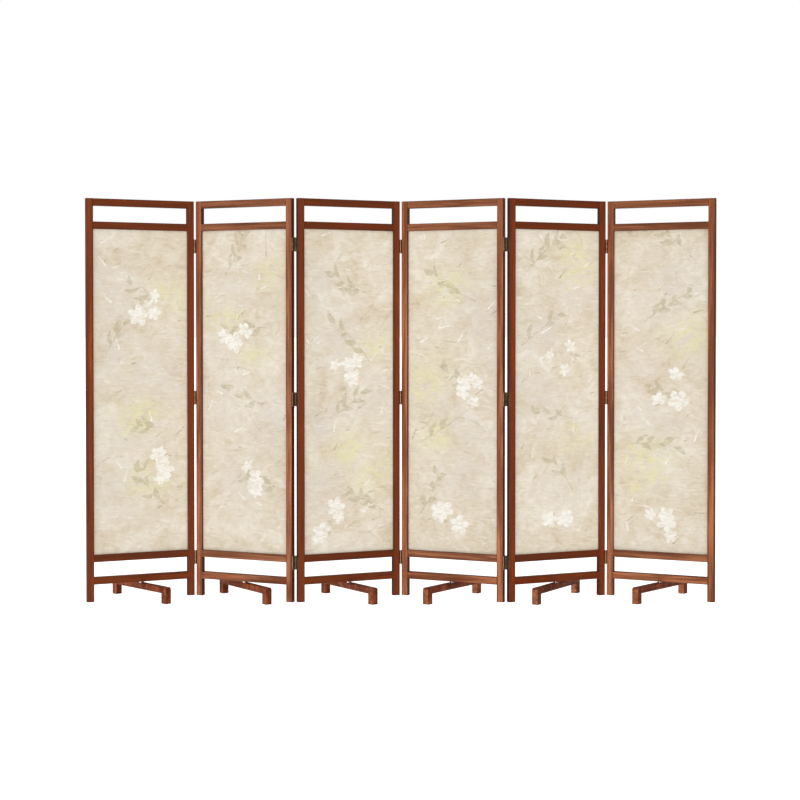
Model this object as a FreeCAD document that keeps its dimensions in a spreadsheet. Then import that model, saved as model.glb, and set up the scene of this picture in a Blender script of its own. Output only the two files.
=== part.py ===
import FreeCAD, Part
import math
import os

# Six-leaf wooden folding screen standing in a zigzag: six jointed frames with
# cloth-covered infill boards, three butt hinges at each of five joints, and a
# swivelling bridge foot under each bottom rail.  Millimetres, +Z up, floor at z = 0.

V = FreeCAD.Vector
doc = FreeCAD.newDocument("folding_screen")

# ---------------------------------------------------------------- parameters
params = [
    ("panel_w", 500), ("panel_high", 1800), ("depth", 25),
    ("stile_face", 31), ("rail_face", 33), ("ease", 2.2),
    ("z_bottom_rail", 77), ("z_lower_rail", 177), ("z_upper_rail", 1664), ("z_top_rail", 1767),
    ("tenon_len", 15.5), ("tenon_thick", 9), ("tenon_high", 18), ("mortise_deep", 16),
    ("tenon_up_low", 2), ("tenon_up_high", 13), ("tenon_up_mid", 8),
    ("groove_wide", 5.2), ("groove_deep", 7),
    ("board_thick", 5), ("board_in", 6),
    ("joint_gap", 4), ("pin_out", 4), ("knuckle_rad", 3.5),
    ("pin_rad", 1.75), ("bore_run", 1.8), ("pin_long", 64),
    ("leaf_thick", 1.5), ("leaf_wide", 22.5), ("leaf_back", 0.3), ("hinge_high", 62), ("knuckle_gap", 0.2),
    ("hinge_z_low", 175), ("hinge_z_mid", 905), ("hinge_z_top", 1595),
    ("screw_pitch", 21), ("screw_head_rad", 3), ("screw_rad", 1.5), ("screw_deep", 12),
    ("foot_long", 430), ("foot_wide", 31), ("foot_high", 73), ("foot_bar_high", 28), ("foot_leg_long", 34),
    ("foot_round", 10), ("foot_ease", 3), ("foot_tenon_long", 16), ("foot_tenon_thick", 11), ("foot_tenon_high", 18),
    ("bolt_rad", 4), ("bolt_run", 4.05), ("bolt_head_rad", 7.5), ("bolt_head_high", 6),
    ("bolt_head_room", 9), ("bolt_head_deep", 8), ("socket_rad", 3), ("socket_deep", 3.5),
    ("washer_rad", 12), ("washer_thick", 3.8), ("insert_rad", 6), ("insert_long", 20),
    ("end_gap", 0.2),
    ("zigzag", 25.3),
    ("foot_turn_one", -47.8), ("foot_turn_two", -55.6), ("foot_turn_three", -55.7),
    ("foot_turn_four", 54.2), ("foot_turn_five", 58.5), ("foot_turn_six", 50.1),
]
sheet = doc.addObject("Spreadsheet::Sheet", "Params")
for row, (alias, value) in enumerate(params, 1):
    sheet.set("A%d" % row, alias)
    sheet.set("B%d" % row, str(value))
    sheet.setAlias("B%d" % row, alias)
doc.recompute()


def num(alias):
    return float(getattr(sheet, alias))


def ex(text):
    # every word of the formula is a cell of the sheet
    out, word = "", ""
    for c in text + " ":
        if c.isalpha() or c == "_":
            word += c
        else:
            if word:
                out += "Params." + word
                word = ""
            out += c
    return out.strip()


def bind(obj, prop, text):
    obj.setExpression(prop, ex(str(text)))


def at(obj, x, y, z):
    bind(obj, "Placement.Base.x", x)
    bind(obj, "Placement.Base.y", y)
    bind(obj, "Placement.Base.z", z)


def box(name, x, y, z, lx, ly, lz):
    b = doc.addObject("Part::Box", name)
    bind(b, "Length", lx)
    bind(b, "Width", ly)
    bind(b, "Height", lz)
    at(b, x, y, z)
    return b


TO_X = FreeCAD.Rotation(V(0, 1, 0), 90)
TO_MINUS_X = FreeCAD.Rotation(V(0, 1, 0), -90)


def cyl(name, rad, high, x, y, z, turn=None):
    c = doc.addObject("Part::Cylinder", name)
    if turn is not None:
        c.Placement = FreeCAD.Placement(V(0, 0, 0), turn)
    bind(c, "Radius", rad)
    bind(c, "Height", high)
    at(c, x, y, z)
    return c


def cone(name, rad_a, rad_b, high, x, y, z, turn=None):
    c = doc.addObject("Part::Cone", name)
    if turn is not None:
        c.Placement = FreeCAD.Placement(V(0, 0, 0), turn)
    bind(c, "Radius1", rad_a)
    bind(c, "Radius2", rad_b)
    bind(c, "Height", high)
    at(c, x, y, z)
    return c


def fuse(name, things):
    f = doc.addObject("Part::MultiFuse", name)
    f.Shapes = things
    return f


def cut(name, base, tools):
    tool = tools[0] if len(tools) == 1 else fuse(name + "_tools", tools)
    c = doc.addObject("Part::Cut", name)
    c.Base = base
    c.Tool = tool
    return c


def group(name, things):
    g = doc.addObject("Part::Compound", name)
    g.Links = things
    return g


to_ease = []


def stock(name, role, wide, high, long, x, y, z, edge_pick, radius):
    # one milled length of timber: rectangular section, padded, arrises eased
    body = doc.addObject("PartDesign::Body", name)
    plane = [o for o in body.Origin.OriginFeatures if o.Role == role][0]
    sk = body.newObject("Sketcher::SketchObject", name + "_section")
    sk.AttachmentSupport = [(plane, "")]
    sk.MapMode = "FlatFace"
    seg = Part.LineSegment
    sk.addGeometry([seg(V(0, 0, 0), V(20, 0, 0)), seg(V(20, 0, 0), V(20, 30, 0)),
                    seg(V(20, 30, 0), V(0, 30, 0)), seg(V(0, 30, 0), V(0, 0, 0))], False)
    import Sketcher
    con = Sketcher.Constraint
    sk.addConstraint([con("Coincident", 0, 2, 1, 1), con("Coincident", 1, 2, 2, 1),
                      con("Coincident", 2, 2, 3, 1), con("Coincident", 3, 2, 0, 1),
                      con("Horizontal", 0), con("Vertical", 1), con("Horizontal", 2), con("Vertical", 3),
                      con("Coincident", 0, 1, -1, 1)])
    wide_at = sk.addConstraint(con("DistanceX", 0, 1, 0, 2, 20.0))
    high_at = sk.addConstraint(con("DistanceY", 1, 1, 1, 2, 30.0))
    sk.setExpression("Constraints[%d]" % wide_at, ex(wide))
    sk.setExpression("Constraints[%d]" % high_at, ex(high))
    pad = body.newObject("PartDesign::Pad", name + "_pad")
    pad.Profile = sk
    bind(pad, "Length", long)
    sk.Visibility = False
    at(body, x, y, z)
    to_ease.append((body, pad, edge_pick, radius))
    return body


def along(axis):
    def pick(e, bb):
        d = e.Vertexes[1].Point - e.Vertexes[0].Point
        return abs(getattr(d, axis)) > 0.9 * d.Length
    return pick


def ease_all():
    doc.recompute()
    for body, pad, rounds, radius in to_ease:
        bb = pad.Shape.BoundBox
        base = pad
        for n, (pick, rad) in enumerate(rounds):
            names = ["Edge%d" % (k + 1) for k, e in enumerate(base.Shape.Edges)
                     if len(e.Vertexes) == 2 and pick(e, bb)]
            f = body.newObject("PartDesign::Fillet", "%s_ease_%d" % (body.Name, n))
            f.Base = (base, names)
            bind(f, "Radius", rad)
            doc.recompute()
            base = f
        body.Tip = base
    doc.recompute()


# ------------------------------------------------------- hinge leaf and screws
# Hinge frame: pin along z through the origin, stile edge at x = joint_gap/2,
# leaf running along +y across that edge.
def leaf(name, zones, bore):
    things = [box(name + "_plate", "joint_gap/2-leaf_thick", "pin_out+leaf_back", "-hinge_high/2",
                  "leaf_thick", "leaf_wide", "hinge_high")]
    for k in zones:
        z = "-hinge_high/2+hinge_high*%d/5+knuckle_gap/2" % k
        things.append(cyl("%s_knuckle_%d" % (name, k), "knuckle_rad", "hinge_high/5-knuckle_gap", 0, 0, z))
        things.append(box("%s_web_%d" % (name, k), "joint_gap/2-leaf_thick", "0", z,
                          "leaf_thick", "pin_out+leaf_back+1", "hinge_high/5-knuckle_gap"))
    body = fuse(name + "_blank", things)
    holes = [cyl(name + "_bore", bore, "hinge_high+2", 0, 0, "-hinge_high/2-1")]
    for s in (-1, 0, 1):
        holes.append(cone("%s_sink_%d" % (name, s + 1), "screw_head_rad", "screw_rad", "leaf_thick",
                          "joint_gap/2-leaf_thick", "pin_out+depth/2", "screw_pitch*(%d)" % s, TO_X))
    return cut(name + "_metal", body, holes)


def screws(name):
    out = []
    for s in (-1, 0, 1):
        tag = "%s_%d" % (name, s + 1)
        head = cone(tag + "_head", "screw_head_rad", "screw_rad", "leaf_thick",
                    "joint_gap/2-leaf_thick", "pin_out+depth/2", "screw_pitch*(%d)" % s, TO_X)
        shank = cyl(tag + "_shank", "screw_rad", "screw_deep",
                    "joint_gap/2", "pin_out+depth/2", "screw_pitch*(%d)" % s, TO_X)
        slot = box(tag + "_slot", "joint_gap/2-leaf_thick-1", "pin_out+depth/2-screw_head_rad-1", "screw_pitch*(%d)-0.4" % s,
                   "1.6", "screw_head_rad*2+2", "0.8")
        out.append(cut(tag, fuse(tag + "_blank", [head, shank]), [slot]))
    return out


leaf_three = group("leaf_three_knuckles", [leaf("leaf_a", (0, 2, 4), "pin_rad")] + screws("screw_a"))
leaf_two = group("leaf_two_knuckles", [leaf("leaf_b", (1, 3), "bore_run")] + screws("screw_b"))
HINGES = ("hinge_z_low", "hinge_z_mid", "hinge_z_top")
HALF = {"+x+y": FreeCAD.Rotation(), "-x+y": FreeCAD.Rotation(V(0, 1, 0), 180),
        "+x-y": FreeCAD.Rotation(V(1, 0, 0), 180), "-x-y": FreeCAD.Rotation(V(0, 0, 1), 180)}

# ------------------------------------------------------------- the six panels
count = 6
stocks = {}
upright = [(along("z"), "ease")]
level = [(along("x"), "ease")]
for i in range(1, count + 1):
    n = "_%d" % i
    stocks["left", i] = stock("left_stile_stock" + n, "XY_Plane", "stile_face", "depth", "panel_high",
                              0, 0, 0, upright, "ease")
    stocks["right", i] = stock("right_stile_stock" + n, "XY_Plane", "stile_face", "depth", "panel_high",
                               "panel_w-stile_face", 0, 0, upright, "ease")
    for rail in ("top", "upper", "lower", "bottom"):
        stocks[rail, i] = stock("%s_rail_stock%s" % (rail, n), "YZ_Plane", "depth", "rail_face", "panel_w-2*stile_face",
                                "stile_face", 0, "z_%s_rail" % rail, level, "ease")
    stocks["bar", i] = stock("foot_bar_stock" + n, "YZ_Plane", "foot_wide", "foot_bar_high", "foot_long-2*foot_leg_long",
                             "-foot_long/2+foot_leg_long", "-foot_wide/2", "foot_high-foot_bar_high",
                             [(along("x"), "foot_ease")], "foot_ease")

    def outer_left(e, bb):
        a, b = e.Vertexes[0].Point, e.Vertexes[1].Point
        return abs(a.x - bb.XMin) < 1e-6 and abs(b.x - bb.XMin) < 1e-6 and abs(a.z - bb.ZMax) < 1e-6 and abs(b.z - bb.ZMax) < 1e-6

    def outer_right(e, bb):
        a, b = e.Vertexes[0].Point, e.Vertexes[1].Point
        return abs(a.x - bb.XMax) < 1e-6 and abs(b.x - bb.XMax) < 1e-6 and abs(a.z - bb.ZMax) < 1e-6 and abs(b.z - bb.ZMax) < 1e-6

    stocks["leg_a", i] = stock("foot_leg_a_stock" + n, "XY_Plane", "foot_leg_long", "foot_wide", "foot_high",
                               "-foot_long/2", "-foot_wide/2", 0,
                               [(outer_left, "foot_round"), (along("z"), "foot_ease")], "foot_ease")
    stocks["leg_b", i] = stock("foot_leg_b_stock" + n, "XY_Plane", "foot_leg_long", "foot_wide", "foot_high",
                               "foot_long/2-foot_leg_long", "-foot_wide/2", 0,
                               [(outer_right, "foot_round"), (along("z"), "foot_ease")], "foot_ease")
ease_all()

nodes = {}  # name -> (object, panel it stands in, True when turned with the foot)
UP = {"top": "tenon_up_mid", "upper": "tenon_up_high", "lower": "tenon_up_low", "bottom": "tenon_up_mid"}
RAILS = ("top", "upper", "lower", "bottom")
for i in range(1, count + 1):
    n = "_%d" % i
    for side in ("left", "right"):
        tools = []
        x0 = "stile_face-mortise_deep" if side == "left" else "panel_w-stile_face"
        for rail in RAILS:
            tools.append(box("%s_mortise_%s%s" % (side, rail, n), x0, "depth/2-tenon_thick/2",
                             "z_%s_rail+%s" % (rail, UP[rail]), "mortise_deep", "tenon_thick", "tenon_high"))
        gx = "stile_face-groove_deep" if side == "left" else "panel_w-stile_face"
        tools.append(box("%s_groove%s" % (side, n), gx, "depth/2-groove_wide/2", "z_lower_rail+rail_face-groove_deep",
                         "groove_deep", "groove_wide", "z_upper_rail-z_lower_rail-rail_face+2*groove_deep"))
        hinged = (side == "left" and i > 1) or (side == "right" and i < count)
        if hinged:
            for hz in HINGES:
                for s in (-1, 0, 1):
                    tag = "%s_pilot_%s_%d%s" % (side, hz, s + 1, n)
                    z = "%s+screw_pitch*(%d)" % (hz, s)
                    if side == "left":
                        tools.append(cyl(tag, "screw_rad", "screw_deep", 0, "depth/2", z, TO_X))
                    else:
                        tools.append(cyl(tag, "screw_rad", "screw_deep", "panel_w", "depth/2", z, TO_MINUS_X))
        nodes["%s_stile%s" % (side, n)] = (cut("%s_stile%s" % (side, n), stocks[side, i], tools), i, False)

    made = {}
    for rail in RAILS:
        z = "z_%s_rail+%s" % (rail, UP[rail])
        tenons = [box("%s_tenon_l%s" % (rail, n), "stile_face-tenon_len", "depth/2-tenon_thick/2", z,
                      "tenon_len+2", "tenon_thick", "tenon_high"),
                  box("%s_tenon_r%s" % (rail, n), "panel_w-stile_face-2", "depth/2-tenon_thick/2", z,
                      "tenon_len+2", "tenon_thick", "tenon_high")]
        made[rail] = fuse("%s_rail_blank%s" % (rail, n), [stocks[rail, i]] + tenons)
    gy = ("depth/2-groove_wide/2", "groove_wide")
    upper = cut("upper_rail" + n, made["upper"],
                [box("upper_groove" + n, "stile_face", gy[0], "z_upper_rail", "panel_w-2*stile_face", gy[1], "groove_deep")])
    lower = cut("lower_rail" + n, made["lower"],
                [box("lower_groove" + n, "stile_face", gy[0], "z_lower_rail+rail_face-groove_deep",
                     "panel_w-2*stile_face", gy[1], "groove_deep")])
    bottom = cut("bottom_rail" + n, made["bottom"],
                 [cyl("insert_seat" + n, "insert_rad", "insert_long+0.5", "panel_w/2", "depth/2", "z_bottom_rail")])
    made["top"].Label = "top_rail" + n
    nodes["top_rail" + n] = (made["top"], i, False)
    nodes["panel_rails" + n] = (group("panel_rails" + n, [upper, lower]), i, False)
    nodes["bottom_rail" + n] = (bottom, i, False)
    nodes["cloth_panel" + n] = (box("cloth_panel" + n, "0", "0", "0",
                                    "panel_w-2*stile_face+2*board_in", "board_thick",
                                    "z_upper_rail-z_lower_rail-rail_face+2*board_in"), i, False)

    # swivel: bolt up through the foot bar into an insert in the bottom rail
    zh = "foot_high-foot_bar_high+bolt_head_deep-end_gap"
    bolt = cut("pivot_bolt" + n,
               fuse("pivot_bolt_blank" + n,
                    [cyl("pivot_head" + n, "bolt_head_rad", "bolt_head_high", "panel_w/2", "depth/2", zh + "-bolt_head_high"),
                     cyl("pivot_shank" + n, "bolt_rad", "z_bottom_rail+insert_long-(%s)" % zh, "panel_w/2", "depth/2", zh)]),
               [cyl("pivot_socket" + n, "socket_rad", "socket_deep", "panel_w/2", "depth/2", zh + "-bolt_head_high")])
    washer = cut("pivot_washer" + n,
                 cyl("washer_blank" + n, "washer_rad", "washer_thick", "panel_w/2", "depth/2", "z_bottom_rail-washer_thick"),
                 [cyl("washer_bore" + n, "bolt_rad", "washer_thick", "panel_w/2", "depth/2", "z_bottom_rail-washer_thick")])
    insert = cut("pivot_insert" + n,
                 cyl("insert_blank" + n, "insert_rad", "insert_long", "panel_w/2", "depth/2", "z_bottom_rail"),
                 [cyl("insert_bore" + n, "bolt_rad", "insert_long", "panel_w/2", "depth/2", "z_bottom_rail")])
    nodes["foot_pivot" + n] = (group("foot_pivot" + n, [bolt, washer, insert]), i, False)

    # bridge foot, drawn about its own pivot axis
    zt = "foot_high-foot_bar_high/2-foot_tenon_high/2"
    bar = cut("foot_bar" + n,
              fuse("foot_bar_blank" + n,
                   [stocks["bar", i],
                    box("foot_tenon_a" + n, "-foot_long/2+foot_leg_long-foot_tenon_long", "-foot_tenon_thick/2", zt,
                        "foot_tenon_long+2", "foot_tenon_thick", "foot_tenon_high"),
                    box("foot_tenon_b" + n, "foot_long/2-foot_leg_long-2", "-foot_tenon_thick/2", zt,
                        "foot_tenon_long+2", "foot_tenon_thick", "foot_tenon_high")]),
              [cyl("foot_bore" + n, "bolt_run", "foot_bar_high", 0, 0, "foot_high-foot_bar_high"),
               cyl("foot_counterbore" + n, "bolt_head_room", "bolt_head_deep", 0, 0, "foot_high-foot_bar_high")])
    leg_a = cut("foot_leg_a" + n, stocks["leg_a", i],
                [box("foot_mortise_a" + n, "-foot_long/2+foot_leg_long-foot_tenon_long", "-foot_tenon_thick/2", zt,
                     "foot_tenon_long", "foot_tenon_thick", "foot_tenon_high")])
    leg_b = cut("foot_leg_b" + n, stocks["leg_b", i],
                [box("foot_mortise_b" + n, "foot_long/2-foot_leg_long", "-foot_tenon_thick/2", zt,
                     "foot_tenon_long", "foot_tenon_thick", "foot_tenon_high")])
    nodes["foot" + n] = (group("foot" + n, [bar, leg_a, leg_b]), i, True)

    # hinge leaves with their screws: joint i-1 on the left edge, joint i on the right
    links = []
    for joint, left in ((i - 1, True), (i, False)):
        if not 1 <= joint < count:
            continue
        front = joint % 2 == 1
        turn = HALF[("+x" if left else "-x") + ("+y" if front else "-y")]
        x = -num("joint_gap") / 2 if left else num("panel_w") + num("joint_gap") / 2
        y = -num("pin_out") if front else num("depth") + num("pin_out")
        for hz in HINGES:
            k = doc.addObject("App::Link", "leaf_%d_%d_%s" % (i, joint, hz))
            k.LinkedObject = leaf_two if left else leaf_three
            k.Placement = FreeCAD.Placement(V(x, y, num(hz)), turn)
            links.append(k)
    nodes["hinge_leaves" + n] = (group("hinge_leaves" + n, links), i, False)
    if i < count:
        y = "-pin_out" if i % 2 == 1 else "depth+pin_out"
        pins = [cyl("pin_%s%s" % (hz, n), "pin_rad", "pin_long", "panel_w+joint_gap/2", y, "%s-pin_long/2" % hz) for hz in HINGES]
        nodes["hinge_pins" + n] = (group("hinge_pins" + n, pins), i, False)

doc.recompute()

# ------------------------------------------------------------ standing pose
theta = num("zigzag")
turns = [num("foot_turn_" + k) for k in ("one", "two", "three", "four", "five", "six")]
stand, pins_at = {}, {}
pin = None
for i in range(1, count + 1):
    ang = theta if i % 2 == 1 else -theta
    rot = FreeCAD.Rotation(V(0, 0, 1), ang)
    base = V(0, 0, 0)
    if pin is not None:
        py = -num("pin_out") if (i - 1) % 2 == 1 else num("depth") + num("pin_out")
        base = pin - rot.multVec(V(-num("joint_gap") / 2, py, 0))
    stand[i] = FreeCAD.Placement(base, rot)
    py = -num("pin_out") if i % 2 == 1 else num("depth") + num("pin_out")
    pin = base + rot.multVec(V(num("panel_w") + num("joint_gap") / 2, py, 0))
    pins_at[i] = pin


def put(shift):
    for name, (obj, i, on_foot) in nodes.items():
        frame = FreeCAD.Placement(stand[i].Base + shift, stand[i].Rotation)
        if on_foot:
            centre = frame.multVec(V(num("panel_w") / 2, num("depth") / 2, 0))
            place = FreeCAD.Placement(centre, FreeCAD.Rotation(V(0, 0, 1), turns[i - 1]))
        elif name.startswith("cloth_panel"):
            corner = V(num("stile_face") - num("board_in"), num("depth") / 2 - num("board_thick") / 2,
                       num("z_lower_rail") + num("rail_face") - num("board_in"))
            place = frame.multiply(FreeCAD.Placement(corner, FreeCAD.Rotation()))
            for axis in "xyz":
                obj.setExpression("Placement.Base." + axis, None)
        else:
            place = frame
        obj.Placement = place
    doc.recompute()


put(V(0, 0, 0))


def whole():
    box_all = FreeCAD.BoundBox()
    for obj, i, on_foot in nodes.values():
        box_all.add(obj.Shape.BoundBox)
    return box_all


# the middle of the floor outline is the origin
first = whole()
shift = V(-(first.XMin + first.XMax) / 2, -(first.YMin + first.YMax) / 2, -first.ZMin)
put(shift)

# ------------------------------------------------------------------- output
bad = [o.Name for o in doc.Objects if any(s in o.State for s in ("Invalid", "Error"))]
for name, (obj, i, on_foot) in nodes.items():
    obj.Label = name
    if obj.Shape.isNull() or not obj.Shape.isValid() or not obj.Shape.Solids:
        bad.append(name)
if bad:
    raise RuntimeError("not built: %s" % ", ".join(bad))
os.makedirs("parts", exist_ok=True)
for name, (obj, i, on_foot) in nodes.items():
    obj.Shape.exportStep("parts/%s.step" % name)
print("nodes", len(nodes), "box", whole())
for j in range(1, count):
    p = pins_at[j] + shift
    print("pin", j, round(p.x, 4), round(p.y, 4))
for i in range(1, count + 1):
    c = FreeCAD.Placement(stand[i].Base + shift, stand[i].Rotation).multVec(V(num("panel_w") / 2, num("depth") / 2, 0))
    b = stand[i].Base + shift
    print("panel", i, "base", round(b.x, 4), round(b.y, 4), "pivot", round(c.x, 4), round(c.y, 4))
for name, (obj, i, on_foot) in sorted(nodes.items()):
    if name.endswith("_2"):
        print(name, len(obj.Shape.Solids), "solids", round(obj.Shape.Volume, 1), obj.Shape.BoundBox)
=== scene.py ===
import math
import bpy
import numpy as np
from mathutils import Matrix, Vector


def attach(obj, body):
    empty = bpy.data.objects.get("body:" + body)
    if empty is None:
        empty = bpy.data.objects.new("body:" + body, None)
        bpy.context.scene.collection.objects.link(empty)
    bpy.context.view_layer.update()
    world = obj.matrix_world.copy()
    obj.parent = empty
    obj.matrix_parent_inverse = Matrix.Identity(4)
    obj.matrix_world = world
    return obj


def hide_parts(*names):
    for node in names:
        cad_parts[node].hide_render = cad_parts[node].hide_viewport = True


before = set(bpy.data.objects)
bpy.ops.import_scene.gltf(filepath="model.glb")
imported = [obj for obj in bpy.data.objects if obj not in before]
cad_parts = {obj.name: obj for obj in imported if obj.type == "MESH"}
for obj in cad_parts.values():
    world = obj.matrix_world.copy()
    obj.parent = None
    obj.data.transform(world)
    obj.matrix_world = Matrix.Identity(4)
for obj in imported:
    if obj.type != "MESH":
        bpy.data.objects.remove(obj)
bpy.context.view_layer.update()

scene = bpy.context.scene

# ------------------------------------------------------------------ geometry
THETA = 25.3
COUNT = 6
BASE = {1: (-1.3950797, -0.1181405), 2: (-0.9360032, 0.0955384), 3: (-0.4555589, -0.1181405),
        4: (0.0035176, 0.0955384), 5: (0.4839620, -0.1181405), 6: (0.9430384, 0.0955384)}
FOOT_TURN = {1: -47.8, 2: -55.6, 3: -55.7, 4: 54.2, 5: 58.5, 6: 50.1}


def angle(i):
    return THETA if i % 2 == 1 else -THETA


def panel_matrix(i):
    return Matrix.Translation((BASE[i][0], BASE[i][1], 0)) @ Matrix.Rotation(math.radians(angle(i)), 4, "Z")


# ------------------------------------------------------------- node shorthand
class Net:
    def __init__(self, name):
        self.mat = bpy.data.materials.new(name)
        self.mat.use_nodes = True
        self.nt = self.mat.node_tree
        self.nt.nodes.clear()
        self.out = self.nt.nodes.new("ShaderNodeOutputMaterial")

    def new(self, kind, **props):
        n = self.nt.nodes.new(kind)
        for k, v in props.items():
            setattr(n, k, v)
        return n

    def put(self, socket, value):
        if value is None:
            return
        if hasattr(value, "is_output"):
            self.nt.links.new(value, socket)
        else:
            socket.default_value = value

    def m(self, op, a, b=None, c=None, clamp=False):
        n = self.new("ShaderNodeMath", operation=op, use_clamp=clamp)
        for s, v in zip(n.inputs, (a, b, c)):
            self.put(s, v)
        return n.outputs[0]

    def step(self, value, low, high):
        # 0 below low, 1 above high, smooth between
        n = self.new("ShaderNodeMapRange", interpolation_type="SMOOTHSTEP")
        self.put(n.inputs["Value"], value)
        n.inputs["From Min"].default_value = low
        n.inputs["From Max"].default_value = high
        return n.outputs["Result"]

    def ramp(self, fac, stops):
        n = self.new("ShaderNodeValToRGB")
        e = n.color_ramp.elements
        while len(e) < len(stops):
            e.new(0.5)
        for el, (pos, col) in zip(e, stops):
            el.position = pos
            el.color = (*col, 1)
        self.put(n.inputs["Fac"], fac)
        return n.outputs["Color"]

    def mix(self, fac, a, b, blend="MIX"):
        n = self.new("ShaderNodeMix", data_type="RGBA", blend_type=blend)
        self.put(n.inputs["Factor"], fac)
        for s, v in ((n.inputs[6], a), (n.inputs[7], b)):
            if isinstance(v, tuple) and len(v) == 3:
                v = (*v, 1)
            self.put(s, v)
        return n.outputs[2]

    def noise(self, vec, scale, detail=3.0, rough=0.5, distort=0.0):
        n = self.new("ShaderNodeTexNoise")
        self.put(n.inputs["Vector"], vec)
        n.inputs["Scale"].default_value = scale
        n.inputs["Detail"].default_value = detail
        n.inputs["Roughness"].default_value = rough
        n.inputs["Distortion"].default_value = distort
        return n.outputs["Fac"]

    def mapping(self, vec, loc=(0, 0, 0), rot=(0, 0, 0), scale=(1, 1, 1)):
        n = self.new("ShaderNodeMapping")
        self.put(n.inputs["Vector"], vec)
        n.inputs["Location"].default_value = loc
        n.inputs["Rotation"].default_value = rot
        n.inputs["Scale"].default_value = scale
        return n.outputs["Vector"]

    def split(self, vec):
        n = self.new("ShaderNodeSeparateXYZ")
        self.put(n.inputs[0], vec)
        return n.outputs

    def join(self, x, y, z=0.0):
        n = self.new("ShaderNodeCombineXYZ")
        for s, v in zip(n.inputs, (x, y, z)):
            self.put(s, v)
        return n.outputs[0]

    def bump(self, height, strength, distance, normal=None):
        n = self.new("ShaderNodeBump")
        n.inputs["Strength"].default_value = strength
        n.inputs["Distance"].default_value = distance
        self.put(n.inputs["Height"], height)
        self.put(n.inputs["Normal"], normal)
        return n.outputs["Normal"]

    def principled(self, **sockets):
        n = self.new("ShaderNodeBsdfPrincipled")
        for k, v in sockets.items():
            s = n.inputs[k.replace("_", " ")]
            if isinstance(v, tuple) and len(v) == 3 and s.type == "RGBA":
                v = (*v, 1)
            self.put(s, v)
        self.nt.links.new(n.outputs[0], self.out.inputs["Surface"])
        return n


# ------------------------------------------------------------------ materials
RAILS = {"top_rail": ((1.767, 1.800),), "panel_rails": ((0.177, 0.210), (1.664, 1.697)), "bottom_rail": ((0.077, 0.110),)}


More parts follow.
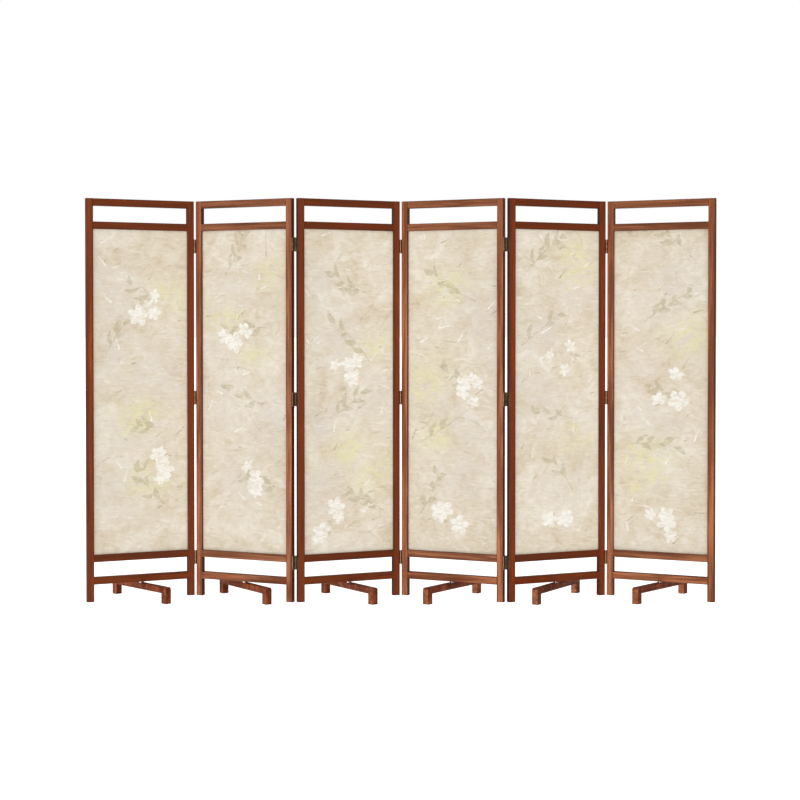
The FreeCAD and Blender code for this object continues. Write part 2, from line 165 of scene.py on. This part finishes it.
def wood(name, kind, turn, at, seed):
    # red-brown stained timber, grain along the length of the piece, painted shade darkening the arrises
    k = Net(name)
    pos = k.new("ShaderNodeTexCoord").outputs["Object"]
    t = math.radians(turn)
    local = k.mapping(pos, loc=(-(at[0] * math.cos(t) + at[1] * math.sin(t)), at[0] * math.sin(t) - at[1] * math.cos(t), 0), rot=(0, 0, -t))
    upright = kind in ("left_stile", "right_stile")
    stretch = (34, 34, 1.3) if upright else (1.3, 34, 34)
    fibre = k.mapping(local, loc=(seed * 3.1, seed * 1.7, seed * 0.9), scale=stretch)
    broad = k.noise(fibre, 2.0, 4, 0.55, 0.5)
    fine = k.noise(fibre, 8.0, 4, 0.6)
    pore_at = k.mapping(local, loc=(seed, 0, seed), scale=tuple(c * (20 if c > 10 else 9) for c in stretch))
    pores = k.step(k.noise(pore_at, 1.0, 2, 0.5), 0.60, 0.70)
    tone = k.m("ADD", k.m("MULTIPLY", broad, 0.65), k.m("MULTIPLY", fine, 0.35))
    # painted light: one stained wood is given lighter copies on the stiles and the bottom rails than on the other rails
    # and the feet, for how the light falls on upright and level grain
    painted_light_gain = {"left_stile": 1.07, "right_stile": 1.07, "foot": 0.74, "bottom_rail": 0.93}.get(kind, 0.73)
    colour = k.ramp(tone, [(p, tuple(v * painted_light_gain for v in c)) for p, c in (
        (0.30, (0.060, 0.0062, 0.0009)), (0.44, (0.118, 0.0148, 0.0024)),
        (0.56, (0.176, 0.0265, 0.0048)), (0.70, (0.285, 0.0560, 0.0125)))])
    if kind == "foot":
        # short dark bars of figured grain
        bars = k.noise(k.mapping(local, loc=(seed, seed * 2, 0), scale=(42, 24, 13)), 1.0, 4, 0.6, 0.8)
        colour = k.mix(k.m("MULTIPLY", k.step(bars, 0.51, 0.60), 0.80), colour, (0.040, 0.0055, 0.0012))
        colour = k.mix(k.m("MULTIPLY", k.step(bars, 0.46, 0.34), 0.50), colour, (0.330, 0.0850, 0.0250))
    colour = k.mix(k.m("MULTIPLY", pores, 0.45), colour, (0.040, 0.0070, 0.0020))

    def inset(c, low, high):
        return k.m("MINIMUM", k.m("SUBTRACT", c, low), k.m("SUBTRACT", high, c))
    # painted shade along the arrises, faded out where a stile meets a rail
    x, y, z = k.split(local)[:3]
    if upright:
        x0 = 0.0 if kind == "left_stile" else 0.469
        arris = k.m("MAXIMUM", inset(x, x0, x0 + 0.031), inset(y, 0.0, 0.025))
        edge = k.step(arris, 0.0062, 0.0014)
        inner = k.step(x, 0.012, 0.019) if kind == "left_stile" else k.step(x, 0.488, 0.481)
        met = 0.0
        for low, high in (r for rails in RAILS.values() for r in rails):
            met = k.m("ADD", k.m("MULTIPLY", k.step(z, low - 0.001, low + 0.001), k.step(z, high + 0.001, high - 0.001)), met)
        edge = k.m("MULTIPLY", edge, k.m("SUBTRACT", 1.0, k.m("MULTIPLY", inner, met)))
        edge = k.m("MAXIMUM", edge, k.step(inset(z, 0.0, 1.8), 0.0062, 0.0014))
        # painted shade: the narrow side faces are darkened more than the front and back
        edge = k.m("MAXIMUM", edge, k.m("MULTIPLY", k.step(inset(x, x0, x0 + 0.031), 0.0014, 0.0004), 1.25))
    elif kind == "foot":
        # painted shade: the lowest few millimetres of a foot are darkened, where it stands on the floor
        edge = k.step(k.m("MINIMUM", z, 0.02), 0.0070, 0.0010)
    else:
        gap = None
        for low, high in RAILS[kind]:
            one = inset(z, low, high)
            gap = one if gap is None else k.m("MAXIMUM", gap, one)
        edge = k.step(k.m("MAXIMUM", gap, inset(y, 0.0, 0.025)), 0.0062, 0.0014)
    # painted shade: the edge mask mixes the wood towards near-black
    colour = k.mix(k.m("MULTIPLY", edge, 0.34 if kind in RAILS else 0.60), colour, (0.022, 0.0028, 0.0008))
    # pale early wood takes a better polish than the dark streaks
    rough = k.m("SUBTRACT", k.m("ADD", k.m("MULTIPLY", fine, 0.16), 0.52), k.m("MULTIPLY", k.step(tone, 0.40, 0.60), 0.34))
    normal = k.bump(k.m("SUBTRACT", fine, k.m("MULTIPLY", pores, 0.6)), 0.14, 0.0006)
    k.principled(Base_Color=colour, Roughness=rough, Normal=normal, Specular_IOR_Level=0.60,
                 Specular_Tint=(1.0, 0.56, 0.30))
    return k.mat


def bronze():
    k = Net("dark_bronze")
    pos = k.new("ShaderNodeTexCoord").outputs["Object"]
    n = k.noise(pos, 90, 4, 0.6)
    colour = k.ramp(n, [(0.35, (0.130, 0.090, 0.058)), (0.70, (0.310, 0.225, 0.155))])
    k.principled(Base_Color=colour, Metallic=0.9, Roughness=k.m("ADD", k.m("MULTIPLY", n, 0.25), 0.30),
                 Normal=k.bump(n, 0.1, 0.0004))
    return k.mat


def steel():
    k = Net("plated_steel")
    pos = k.new("ShaderNodeTexCoord").outputs["Object"]
    n = k.noise(pos, 160, 3, 0.6)
    k.principled(Base_Color=k.ramp(n, [(0.3, (0.42, 0.41, 0.39)), (0.7, (0.58, 0.57, 0.54))]), Metallic=1.0,
                 Roughness=k.m("ADD", k.m("MULTIPLY", n, 0.2), 0.25))
    return k.mat


def cloth(i, gain):
    # cream woven cloth with a soft painted print: slender leaf sprays, open blossoms, pale strokes
    k = Net("printed_cloth_%d" % i)
    uv = k.new("ShaderNodeUVMap", uv_map="print").outputs["UV"]
    p = k.split(uv)
    u, v = p[0], p[1]
    mask = {}
    for layer, names in (("print_a", ("leaf", "bloom", "wash")), ("print_b", ("twig", "stroke", "cloud"))):
        at = k.new("ShaderNodeAttribute", attribute_name=layer)
        sep = k.new("ShaderNodeSeparateColor")
        k.put(sep.inputs[0], at.outputs["Color"])
        for n, o in zip(names, sep.outputs):
            mask[n] = o
    # clouded ground, greyer in the middle of each cloud, with a fine aged speckle
    broad = k.noise(uv, 5.0, 7, 0.62, 0.8)
    brush = k.noise(k.mapping(uv, loc=(i, 0, 0), rot=(0, 0, 0.35), scale=(15, 23, 1)), 1.0, 6, 0.66, 1.5)
    tone = k.m("ADD", k.m("MULTIPLY", broad, 0.52), k.m("MULTIPLY", brush, 0.48))
    ground = k.ramp(tone, [(0.32, (0.580, 0.460, 0.315)), (0.44, (0.715, 0.615, 0.465)),
                           (0.54, (0.785, 0.705, 0.575)), (0.67, (0.890, 0.838, 0.735))])
    grey = k.m("MULTIPLY", mask["cloud"], k.step(k.noise(uv, 16.0, 5, 0.6), 0.25, 0.75))
    ground = k.mix(k.m("MULTIPLY", grey, 0.80), ground, (0.735, 0.672, 0.612))
    wash = k.m("MULTIPLY", mask["wash"], k.step(k.noise(uv, 22.0, 6, 0.65, 0.8), 0.36, 0.62))
    ground = k.mix(k.m("MULTIPLY", wash, 0.95), ground, (0.790, 0.745, 0.430))
    speck = k.noise(uv, 130.0, 5, 0.7)
    ground = k.mix(k.m("MULTIPLY", k.step(speck, 0.56, 0.70), 0.30), ground, (0.885, 0.830, 0.730))
    ground = k.mix(k.m("MULTIPLY", k.step(speck, 0.44, 0.30), 0.26), ground, (0.600, 0.500, 0.370))
    # dry-brush scratches at several slants
    colour = ground
    for turn, lo, shift in ((0.5, 0.595, 0.0), (-0.8, 0.610, 4.0), (1.25, 0.625, 9.0)):
        st = k.noise(k.mapping(uv, loc=(shift + i, shift, 0), rot=(0, 0, turn), scale=(15.0, 105.0, 1)), 1.0, 3, 0.6, 0.7)
        colour = k.mix(k.m("MULTIPLY", k.step(st, lo, lo + 0.07), 0.34), colour, (0.900, 0.855, 0.765))
    for turn, lo, shift in ((0.7, 0.615, 2.0), (-0.55, 0.630, 6.0)):
        st = k.noise(k.mapping(uv, loc=(shift, shift + i, 0), rot=(0, 0, turn), scale=(17.0, 120.0, 1)), 1.0, 3, 0.6, 0.7)
        colour = k.mix(k.m("MULTIPLY", k.step(st, lo, lo + 0.06), 0.36), colour, (0.560, 0.470, 0.330))
    # painted layers: the mask's middle value is a motif's edge, roughened like a brush mark
    rag = k.m("MULTIPLY", k.m("SUBTRACT", k.noise(uv, 62.0, 5, 0.66, 0.6), 0.5), 0.95)
    dry = k.m("ADD", k.m("MULTIPLY", k.step(k.noise(k.mapping(uv, rot=(0, 0, 0.6), scale=(30, 62, 1)), 1.0, 5, 0.65, 0.8), 0.34, 0.62), 0.72), 0.28)

    def layer(name, low, high):
        return k.step(k.m("ADD", mask[name], rag), low, high)
    colour = k.mix(k.m("MULTIPLY", k.m("MULTIPLY", layer("twig", 0.38, 0.66), dry), 0.76), colour, (0.440, 0.360, 0.240))
    colour = k.mix(k.m("MULTIPLY", k.m("MULTIPLY", layer("leaf", 0.34, 0.64), dry), 0.74), colour, (0.520, 0.455, 0.295))
    colour = k.mix(k.m("MULTIPLY", k.m("MULTIPLY", layer("bloom", 0.30, 0.66), dry), 0.92), colour, (0.955, 0.935, 0.875))
    colour = k.mix(k.m("MULTIPLY", layer("stroke", 0.38, 0.70), 0.80), colour, (0.945, 0.920, 0.860))
    # plain weave with slubs
    warp = k.m("SINE", k.m("MULTIPLY", u, 2 * math.pi / 0.0012))
    weft = k.m("SINE", k.m("MULTIPLY", v, 2 * math.pi / 0.0012))
    weave = k.m("MULTIPLY", warp, weft)
    slub = k.noise(k.mapping(uv, scale=(60, 900, 1)), 1.0, 2, 0.5)
    shade = k.m("ADD", k.m("ADD", k.m("MULTIPLY", weave, 0.022), k.m("MULTIPLY", slub, 0.06)), gain - 0.03)
    colour = k.mix(1.0, colour, k.join(shade, shade, shade), "MULTIPLY")
    normal = k.bump(k.m("ADD", weave, slub), 0.18, 0.0003)
    k.principled(Base_Color=colour, Roughness=0.92, Normal=normal, Specular_IOR_Level=0.15, Sheen_Weight=0.08, Sheen_Roughness=0.5)
    return k.mat


def assign(obj, mat):
    obj.data.materials.clear()
    obj.data.materials.append(mat)


bronze_mat, steel_mat = bronze(), steel()
for name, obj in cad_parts.items():
    kind, i = name.rsplit("_", 1)
    i = int(i)
    if kind in ("left_stile", "right_stile"):
        assign(obj, wood("wood_" + name, kind, angle(i), BASE[i], i * 2 + (kind == "right_stile")))
    elif kind in ("top_rail", "panel_rails", "bottom_rail"):
        assign(obj, wood("wood_" + name, kind, angle(i), BASE[i], 20 + i * 3 + len(kind)))
    elif kind == "foot":
        assign(obj, wood("wood_" + name, kind, FOOT_TURN[i], tuple((panel_matrix(i) @ Vector((0.25, 0.0125, 0)))[:2]), 50 + i))
    elif kind in ("hinge_leaves", "hinge_pins"):
        assign(obj, bronze_mat)
    elif kind == "foot_pivot":
        assign(obj, steel_mat)

# ---------------------------------------------------------------------- cloth
# The print's own drawing: each mask holds a soft distance, 0.5 at a motif's edge.
X0, X1, Z0, Z1 = 0.0255, 0.4745, 0.2045, 1.6695


class Draw:
    def __init__(self, seed, nx, nz):
        self.rng = np.random.default_rng(seed)
        self.x, self.z = np.meshgrid(np.linspace(X0, X1, nx + 1), np.linspace(Z0, Z1, nz + 1))
        self.mask = {n: np.zeros(self.x.shape) for n in ("leaf", "bloom", "wash", "twig", "stroke", "cloud")}

    def add(self, name, inside, soft):
        m = self.mask[name]
        np.maximum(m, np.clip(0.5 + inside / (2 * soft), 0, 1), out=m)

    def local(self, cx, cz, ang):
        dx, dz = self.x - cx, self.z - cz
        c, s = math.cos(ang), math.sin(ang)
        return dx * c + dz * s, -dx * s + dz * c

    def leaf(self, cx, cz, ang, length, half, name="leaf"):
        a, b = self.local(cx, cz, ang)
        t = np.clip(a / length, 0, 1)
        b = b - 0.10 * length * np.sin(math.pi * t)
        wide = half * np.sin(math.pi * t ** 0.75) ** 0.9
        inside = wide - np.abs(b)
        inside = np.where((a < 0) | (a > length), -1.0, inside)
        self.add(name, inside, 0.006)

    def line(self, pts, half, name, taper=True):
        best = np.full(self.x.shape, -1.0)
        for n in range(len(pts) - 1):
            (xa, za), (xb, zb) = pts[n], pts[n + 1]
            dx, dz = xb - xa, zb - za
            t = np.clip(((self.x - xa) * dx + (self.z - za) * dz) / (dx * dx + dz * dz + 1e-12), 0, 1)
            d = np.hypot(self.x - xa - t * dx, self.z - za - t * dz)
            w = half * (1.0 - 0.6 * (n + t) / (len(pts) - 1)) if taper else half
            best = np.maximum(best, w - d)
        self.add(name, best, 0.005)

    def spray(self, cx, cz, ang, length, leaves):
        # a bent stem with slender paired leaves
        r = self.rng
        bow = r.uniform(-0.6, 0.6)
        pts, x, z, a = [(cx, cz)], cx, cz, ang
        for n in range(10):
            a += bow / 10
            x, z = x + math.cos(a) * length / 10, z + math.sin(a) * length / 10
            pts.append((x, z))
        self.line(pts, 0.0022, "twig")
        for n in range(leaves):
            k = 2 + n * 8.5 / leaves
            lo = int(k)
            px, pz = pts[min(lo, 10)]
            side = 1 if n % 2 == 0 else -1
            turn = ang + bow * k / 10 + side * r.uniform(0.35, 0.85)
            if r.random() < 0.85:
                self.leaf(px, pz, turn, r.uniform(0.042, 0.078), r.uniform(0.0085, 0.0150))

    def bloom(self, cx, cz, size):
        r = self.rng
        a, b = self.local(cx, cz, r.uniform(0, 6.28))
        squash = r.uniform(0.65, 1.0)
        b = b / squash
        rad, phi = np.hypot(a, b), np.arctan2(b, a)
        petal = np.abs(np.cos(2.5 * phi))
        inside = size * (0.58 + 0.42 * petal) - rad
        # a thin shaded line between petals and a small open eye
        crease = 0.011 * np.clip(1.0 - petal / 0.22, 0, 1) + 0.012 * np.clip(1.0 - rad / (0.22 * size), 0, 1)
        self.add("bloom", inside - crease, 0.010)

    def puff(self, name, cx, cz, wide, high, ang, peak):
        a, b = self.local(cx, cz, ang)
        g = peak * np.exp(-((a / wide) ** 2 + (b / high) ** 2))
        self.mask[name] = np.maximum(self.mask[name], g)


def paint(seed, nx, nz):
    d = Draw(seed, nx, nz)
    r = d.rng
    for n in range(5):
        d.puff("cloud", r.uniform(0.10, 0.40), 0.45 + 1.00 * (n + r.uniform(0.2, 0.8)) / 5, r.uniform(0.10, 0.18), r.uniform(0.10, 0.20), r.uniform(-1, 1), 0.95)
    for n in range(3):
        zc = 0.30 + 1.25 * ((n * 0.37 + r.uniform(0, 1)) % 1.0)
        xc = r.uniform(0.08, 0.42)
        d.puff("wash", xc, zc, r.uniform(0.07, 0.13), r.uniform(0.05, 0.10), r.uniform(-0.6, 0.6), r.uniform(0.7, 1.0))
        d.puff("wash", xc + r.uniform(-0.06, 0.06), zc + r.uniform(-0.08, 0.08), 0.05, 0.035, r.uniform(-0.6, 0.6), 0.8)
    start = r.uniform(0, 1)
    for n in range(4):
        zc = 0.28 + 1.30 * ((start + n / 4 + r.uniform(-0.06, 0.06)) % 1.0)
        left = r.random() < 0.5
        ang = r.uniform(0.1, 1.1) if left else math.pi - r.uniform(0.1, 1.1)
        d.spray(r.uniform(0.05, 0.18) if left else r.uniform(0.32, 0.45), zc, ang, r.uniform(0.18, 0.30), int(r.integers(5, 9)))
    for n in range(2):
        zc = 0.30 + 1.25 * ((start + 0.2 + n / 2 + r.uniform(-0.08, 0.08)) % 1.0)
        xc = r.uniform(0.12, 0.38)
        for m in range(int(r.integers(2, 6))):
            d.bloom(xc + r.uniform(-0.085, 0.085), zc + r.uniform(-0.075, 0.075), r.uniform(0.028, 0.052))
        for m in range(2):
            d.leaf(xc + r.uniform(-0.05, 0.05), zc + r.uniform(-0.05, 0.05), r.uniform(0, 6.28), r.uniform(0.035, 0.055), r.uniform(0.007, 0.010), "leaf")
    for n in range(13):
        xs, zs, a = r.uniform(0.05, 0.45), r.uniform(0.24, 1.64), r.uniform(0, math.pi)
        ln = r.uniform(0.022, 0.065)
        bend = r.uniform(-0.15, 0.15)
        pts = [(xs + ln * t * math.cos(a + bend * t), zs + ln * t * math.sin(a + bend * t)) for t in np.linspace(0, 1, 5)]
        d.line(pts, r.uniform(0.0022, 0.0044), "stroke")
    for n in range(16):
        xs, zs, a = r.uniform(0.05, 0.45), r.uniform(0.24, 1.64), r.uniform(-0.2, 1.2)
        ln = r.uniform(0.018, 0.055)
        d.line([(xs, zs), (xs + ln * math.cos(a), zs + ln * math.sin(a))], r.uniform(0.0022, 0.0042), "twig")
    for n in range(7):
        xs, zs, a = r.uniform(0.05, 0.45), r.uniform(0.24, 1.64), r.uniform(0, math.pi)
        ln, bend = r.uniform(0.08, 0.20), r.uniform(-0.9, 0.9)
        pts = [(xs + ln * t * math.cos(a + bend * t), zs + ln * t * math.sin(a + bend * t)) for t in np.linspace(0, 1, 8)]
        d.line(pts, r.uniform(0.0014, 0.0022), "twig")
    return d


for i in range(1, COUNT + 1):
    mat = cloth(i, 0.876)
    place = panel_matrix(i)
    for face, y, sign, step_mm in (("front", 0.0101, -1, 3.6), ("back", 0.0149, 1, 7.2)):
        nx, nz = round((X1 - X0) * 1000 / step_mm), round((Z1 - Z0) * 1000 / step_mm)
        d = paint(400 + 7 * i + (0 if sign < 0 else 1), nx, nz)
        x, z = d.x, d.z
        edge = np.minimum(np.minimum(x - 0.031, 0.469 - x), np.minimum(z - 0.210, 1.664 - z))
        give = np.clip(edge / 0.05, 0, 1)
        wave = 0.0004 * give * (np.sin(9 * x + 3.1 * z + i) + 0.7 * np.sin(14 * x - 5.3 * z + 2 * i))
        c, s = math.cos(math.radians(angle(i))), math.sin(math.radians(angle(i)))
        yy = y + wave
        co = np.stack([BASE[i][0] + x * c - yy * s, BASE[i][1] + x * s + yy * c, z], -1).reshape(-1, 3)
        q = (np.arange(nz)[:, None] * (nx + 1) + np.arange(nx)[None, :]).ravel()
        quads = np.stack([q, q + 1, q + nx + 2, q + nx + 1], 1)
        if sign > 0:
            quads = quads[:, ::-1]
        mesh = bpy.data.meshes.new("cloth_%s_%d" % (face, i))
        mesh.vertices.add(len(co))
        mesh.vertices.foreach_set("co", co.ravel())
        mesh.loops.add(quads.size)
        mesh.loops.foreach_set("vertex_index", quads.ravel().astype(np.int32))
        mesh.polygons.add(len(quads))
        mesh.polygons.foreach_set("loop_start", np.arange(0, quads.size, 4, dtype=np.int32))
        mesh.update(calc_edges=True)
        mesh.polygons.foreach_set("use_smooth", np.ones(len(quads), dtype=bool))
        uv = np.stack([x + 0.53 * i + (0.27 if sign > 0 else 0.0), z + 0.81 * i], -1).reshape(-1, 2)
        mesh.uv_layers.new(name="print").data.foreach_set("uv", uv[quads.ravel()].ravel())
        for layer, names in (("print_a", ("leaf", "bloom", "wash")), ("print_b", ("twig", "stroke", "cloud"))):
            col = np.ones((len(co), 4), dtype=np.float32)
            for n, name in enumerate(names):
                col[:, n] = d.mask[name].ravel()
            mesh.color_attributes.new(name=layer, type="FLOAT_COLOR", domain="POINT").data.foreach_set("color", col.ravel())
        mesh.validate()
        obj = bpy.data.objects.new("cloth_%s_%d" % (face, i), mesh)
        scene.collection.objects.link(obj)
        assign(obj, mat)
        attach(obj, "panel_%d" % i)
        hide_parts("cloth_panel_%d" % i)

# ---------------------------------------------------------------------- stage
k = Net("pale_floor")
pos = k.new("ShaderNodeTexCoord").outputs["Object"]
k.principled(Base_Color=k.ramp(k.noise(pos, 3.0, 3, 0.5), [(0.3, (0.925, 0.925, 0.925)), (0.7, (0.945, 0.945, 0.945))]),
             Roughness=0.9, Specular_IOR_Level=0.1, Emission_Color=(1.0, 1.0, 1.0), Emission_Strength=0.85)
bpy.ops.mesh.primitive_plane_add(size=500, location=(0, 0, 0))
floor = bpy.context.object
floor.name = "floor"
# the floor is only a white ground: the lamps and the surroundings do the lighting
floor.visible_diffuse = floor.visible_glossy = floor.visible_shadow = False
assign(floor, k.mat)
world = bpy.data.worlds.new("studio")
scene.world = world
world.use_nodes = True
bg = world.node_tree.nodes["Background"]
bg.inputs["Strength"].default_value = 1.0
tree = world.node_tree
way = tree.nodes.new("ShaderNodeTexCoord")
part_y = tree.nodes.new("ShaderNodeSeparateXYZ")
fade = tree.nodes.new("ShaderNodeMapRange")
fade.inputs["From Min"].default_value, fade.inputs["From Max"].default_value = -1.0, 1.0
band = tree.nodes.new("ShaderNodeValToRGB")
while len(band.color_ramp.elements) < 5:
    band.color_ramp.elements.new(0.5)
for e, (at, c) in zip(band.color_ramp.elements, ((0.10, 1.16), (0.30, 0.81), (0.42, 0.32), (0.86, 0.32), (0.955, 0.32))):
    e.position, e.color = at, (c, c, c, 1)
tree.links.new(way.outputs["Generated"], part_y.inputs[0])
tree.links.new(part_y.outputs["Y"], fade.inputs["Value"])
tree.links.new(fade.outputs["Result"], band.inputs["Fac"])
# light thrown back up from the ground
below = tree.nodes.new("ShaderNodeMapRange")
below.inputs["From Min"].default_value, below.inputs["From Max"].default_value = -0.30, -0.90
below.inputs["To Max"].default_value = 0.65
both = tree.nodes.new("ShaderNodeMix")
both.data_type, both.blend_type = "RGBA", "ADD"
both.inputs["Factor"].default_value = 1.0
tree.links.new(part_y.outputs["Z"], below.inputs["Value"])
tree.links.new(band.outputs["Color"], both.inputs[6])
tree.links.new(below.outputs["Result"], both.inputs[7])
# seen directly, the surroundings are plain white
seen = tree.nodes.new("ShaderNodeLightPath")
plain = tree.nodes.new("ShaderNodeMix")
plain.data_type = "RGBA"
plain.inputs[7].default_value = (1, 1, 1, 1)
tree.links.new(seen.outputs["Is Camera Ray"], plain.inputs["Factor"])
tree.links.new(both.outputs[2], plain.inputs[6])
tree.links.new(plain.outputs[2], bg.inputs["Color"])


def area(name, loc, aim, size, power, colour=(1, 1, 1)):
    data = bpy.data.lights.new(name, "AREA")
    data.energy, data.size, data.color = power, size, colour
    obj = bpy.data.objects.new(name, data)
    obj.location = loc
    obj.rotation_euler = (Vector(aim) - Vector(loc)).to_track_quat("-Z", "Y").to_euler()
    scene.collection.objects.link(obj)
    return obj


# two equal soft boxes light the front and two the back, and one more on the left gives only the shine on the wood
for side, x, y, z, power in (("left", -14.0, -11.3, 1.4, 410), ("right", 14.0, -11.3, 1.4, 410), ("back_left", -12.0, 13.0, 2.0, 1000),
                             ("back_right", 12.0, 13.0, 2.0, 1000), ("shine", -14.0, -11.3, -1.9, 2200)):
    box = area("soft_box_" + side, (x, y, z), (0, 0, 0.9), 13.5, power)
    box.data.shape, box.data.size, box.data.size_y = "RECTANGLE", 13.5, 10.4
    box.visible_diffuse, box.visible_glossy = side != "shine", side == "shine"
# low side light from the left, for the feet alone
low = area("soft_box_low", (-14.0, 0.5, 0.5), (0, 0, 0.1), 13.0, 3000)
low.visible_glossy = False
low_lit = bpy.data.collections.new("low_lit")
for i in range(1, COUNT + 1):
    low_lit.objects.link(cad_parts["foot_%d" % i])
low.light_linking.receiver_collection = low_lit

# a black card on the right keeps that side of the wood dark
k = Net("black_card")
k.principled(Base_Color=(0.004, 0.004, 0.004), Roughness=1.0, Specular_IOR_Level=0.0)
bpy.ops.mesh.primitive_plane_add(size=1, location=(11.0, -10.75, -0.3), rotation=(0, math.radians(-90), 0))
card = bpy.context.object
card.name = "side_card"
card.scale = (13.0, 12.5, 1)
card.visible_diffuse = card.visible_shadow = False
assign(card, k.mat)

cam_data = bpy.data.cameras.new("camera")
cam = bpy.data.objects.new("camera", cam_data)
cam_data.lens, cam_data.sensor_width = 76.756, 36
cam_data.shift_y = -0.04815
cam_data.dof.use_dof = False
cam.location = (-0.0033, -7.6975, 1.216)
cam.rotation_euler = (math.radians(90 - 1.0726), 0, 0)
scene.collection.objects.link(cam)
scene.camera = cam
scene.view_settings.view_transform = "Standard"
